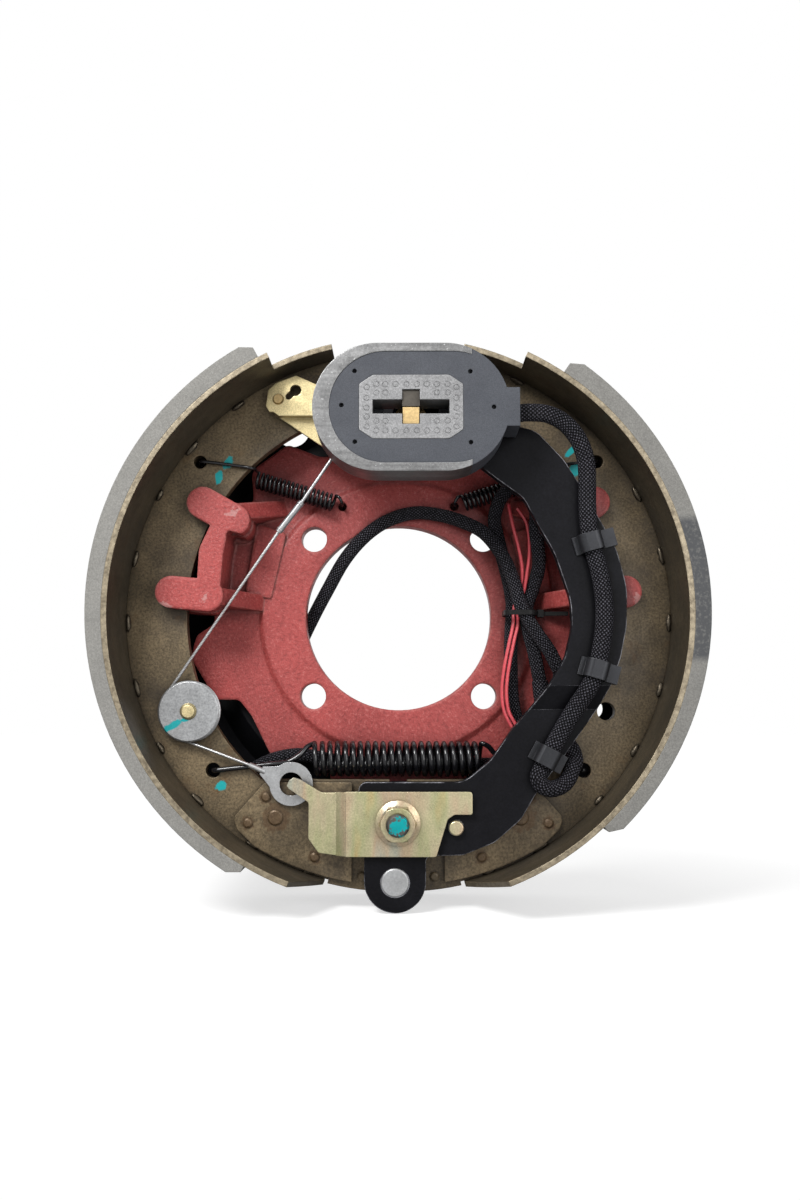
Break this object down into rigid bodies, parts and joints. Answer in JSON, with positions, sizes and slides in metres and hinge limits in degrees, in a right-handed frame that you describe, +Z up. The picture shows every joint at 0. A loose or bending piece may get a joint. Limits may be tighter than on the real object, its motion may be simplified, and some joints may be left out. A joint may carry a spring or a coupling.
{
  "type": "trailer brake assembly",
  "caption": "Electric drum brake with a forward self-adjusting cable, floating magnet on a lever arm, two lined shoes, return springs and a dust shield.",
  "frame": {"origin": "axle centre on the rear mounting face of the spider", "axes": "+Z up as installed, +X to the right seen from the drum side, -Y towards the drum, +Y towards the axle flange"},
  "size_m": [0.3102, 0.0945, 0.3027],
  "materials": {
    "spider_paint": "satin",
    "shield_paint": "satin",
    "arm_paint": "satin",
    "spring_paint": "gloss",
    "shoe_steel": "satin",
    "lining": "matte",
    "plain_steel": "satin",
    "dark_steel": "satin",
    "yellow_zinc": "satin",
    "bright_zinc": "satin",
    "coil_resin": "matte",
    "pole_steel": "matte",
    "brass": "satin",
    "sleeve": "matte",
    "red_insulation": "satin",
    "tie_nylon": "satin",
    "terminal": "satin"
  },
  "bodies": {
    "root": {"spider": "spider_paint", "dust_shield": "shield_paint", "shield_screws": "dark_steel", "anchor_post": "dark_steel", "anchor_guide_plate": "yellow_zinc", "anchor_nut": "yellow_zinc", "adjuster_spring": "spring_paint", "retractor_spring_left": "spring_paint", "retractor_spring_right": "spring_paint", "lead_loop": "sleeve", "lead_hank": "sleeve", "lead_tail": "sleeve", "lower_lead": "sleeve", "red_wire_inner": "red_insulation", "red_wire_outer": "red_insulation", "zip_tie": "tie_nylon", "wire_terminals": "terminal"},
    "lever_arm": {"lever_arm": "arm_paint", "cam_pin": "plain_steel", "cam_roller": "dark_steel", "stop_pin": "yellow_zinc", "magnet_post": "brass", "lead_clips": "dark_steel", "arm_lead": "sleeve", "magnet_spring": "spring_paint"},
    "magnet": {"magnet_shell": "plain_steel", "magnet_coil_block": "coil_resin", "magnet_pole": "pole_steel", "magnet_keeper": "dark_steel"},
    "primary_shoe": {"primary_table": "shoe_steel", "primary_web": "shoe_steel", "primary_lining": "lining", "primary_end_plate": "shoe_steel", "primary_rivets": "dark_steel"},
    "secondary_shoe": {"secondary_table": "shoe_steel", "secondary_web": "shoe_steel", "secondary_lining": "lining", "secondary_end_plate": "shoe_steel", "secondary_rivets": "dark_steel", "pulley_pin": "yellow_zinc", "adjuster_cable": "bright_zinc", "cable_eyelet": "bright_zinc", "cable_hook": "bright_zinc", "lever_rivet": "brass", "adjuster_nut": "bright_zinc", "adjuster_socket": "bright_zinc"},
    "star_wheel": {"star_wheel": "yellow_zinc"},
    "adjuster_lever": {"adjuster_lever": "yellow_zinc"},
    "cable_pulley": {"cable_pulley": "bright_zinc"}
  },
  "joints": [
    {"name": "lever_pivot", "type": "hinge", "parent": "root", "child": "lever_arm", "pos_m": [0, -0.04, -0.1075], "axis": [0, -1, 0], "range_deg": [0, 4], "stiffness_Nm_per_rad": 60, "springref_deg": -5.73, "deforming": ["lead_loop"]},
    {"name": "magnet_float", "type": "slide", "parent": "lever_arm", "child": "magnet", "axis": [0, -1, 0], "range_m": [-0.002, 0.002], "stiffness_N_per_m": 1500, "deforming": ["magnet_spring"]},
    {"name": "primary_pivot", "type": "hinge", "parent": "root", "child": "primary_shoe", "pos_m": [0.0295, -0.0269, 0.121], "axis": [0, -1, 0], "range_deg": [0, 0.47], "deforming": ["adjuster_spring", "retractor_spring_right"]},
    {"name": "secondary_pivot", "type": "hinge", "parent": "root", "child": "secondary_shoe", "pos_m": [0, -0.0269, -0.1075], "axis": [0, -1, 0], "range_deg": [0, 0.21], "deforming": ["retractor_spring_left"]},
    {"name": "star_wheel_turn", "type": "hinge", "parent": "secondary_shoe", "child": "star_wheel", "pos_m": [0, -0.0269, 0.121], "axis": [1, 0, 0], "continuous": true},
    {"name": "adjuster_lever_pivot", "type": "hinge", "parent": "secondary_shoe", "child": "adjuster_lever", "pos_m": [-0.0639, -0.036, 0.1144], "axis": [0, -1, 0], "range_deg": [-3, 0], "stiffness_Nm_per_rad": 1, "springref_deg": 2.86},
    {"name": "cable_pulley_spin", "type": "hinge", "parent": "secondary_shoe", "child": "cable_pulley", "pos_m": [-0.1092, -0.034, -0.0512], "axis": [0, -1, 0], "continuous": true}
  ],
  "couplings": [
    {"joint": "primary_pivot", "follows": "lever_pivot", "ratio": 0.1161},
    {"joint": "secondary_pivot", "follows": "lever_pivot", "ratio": 0.05}
  ]
}
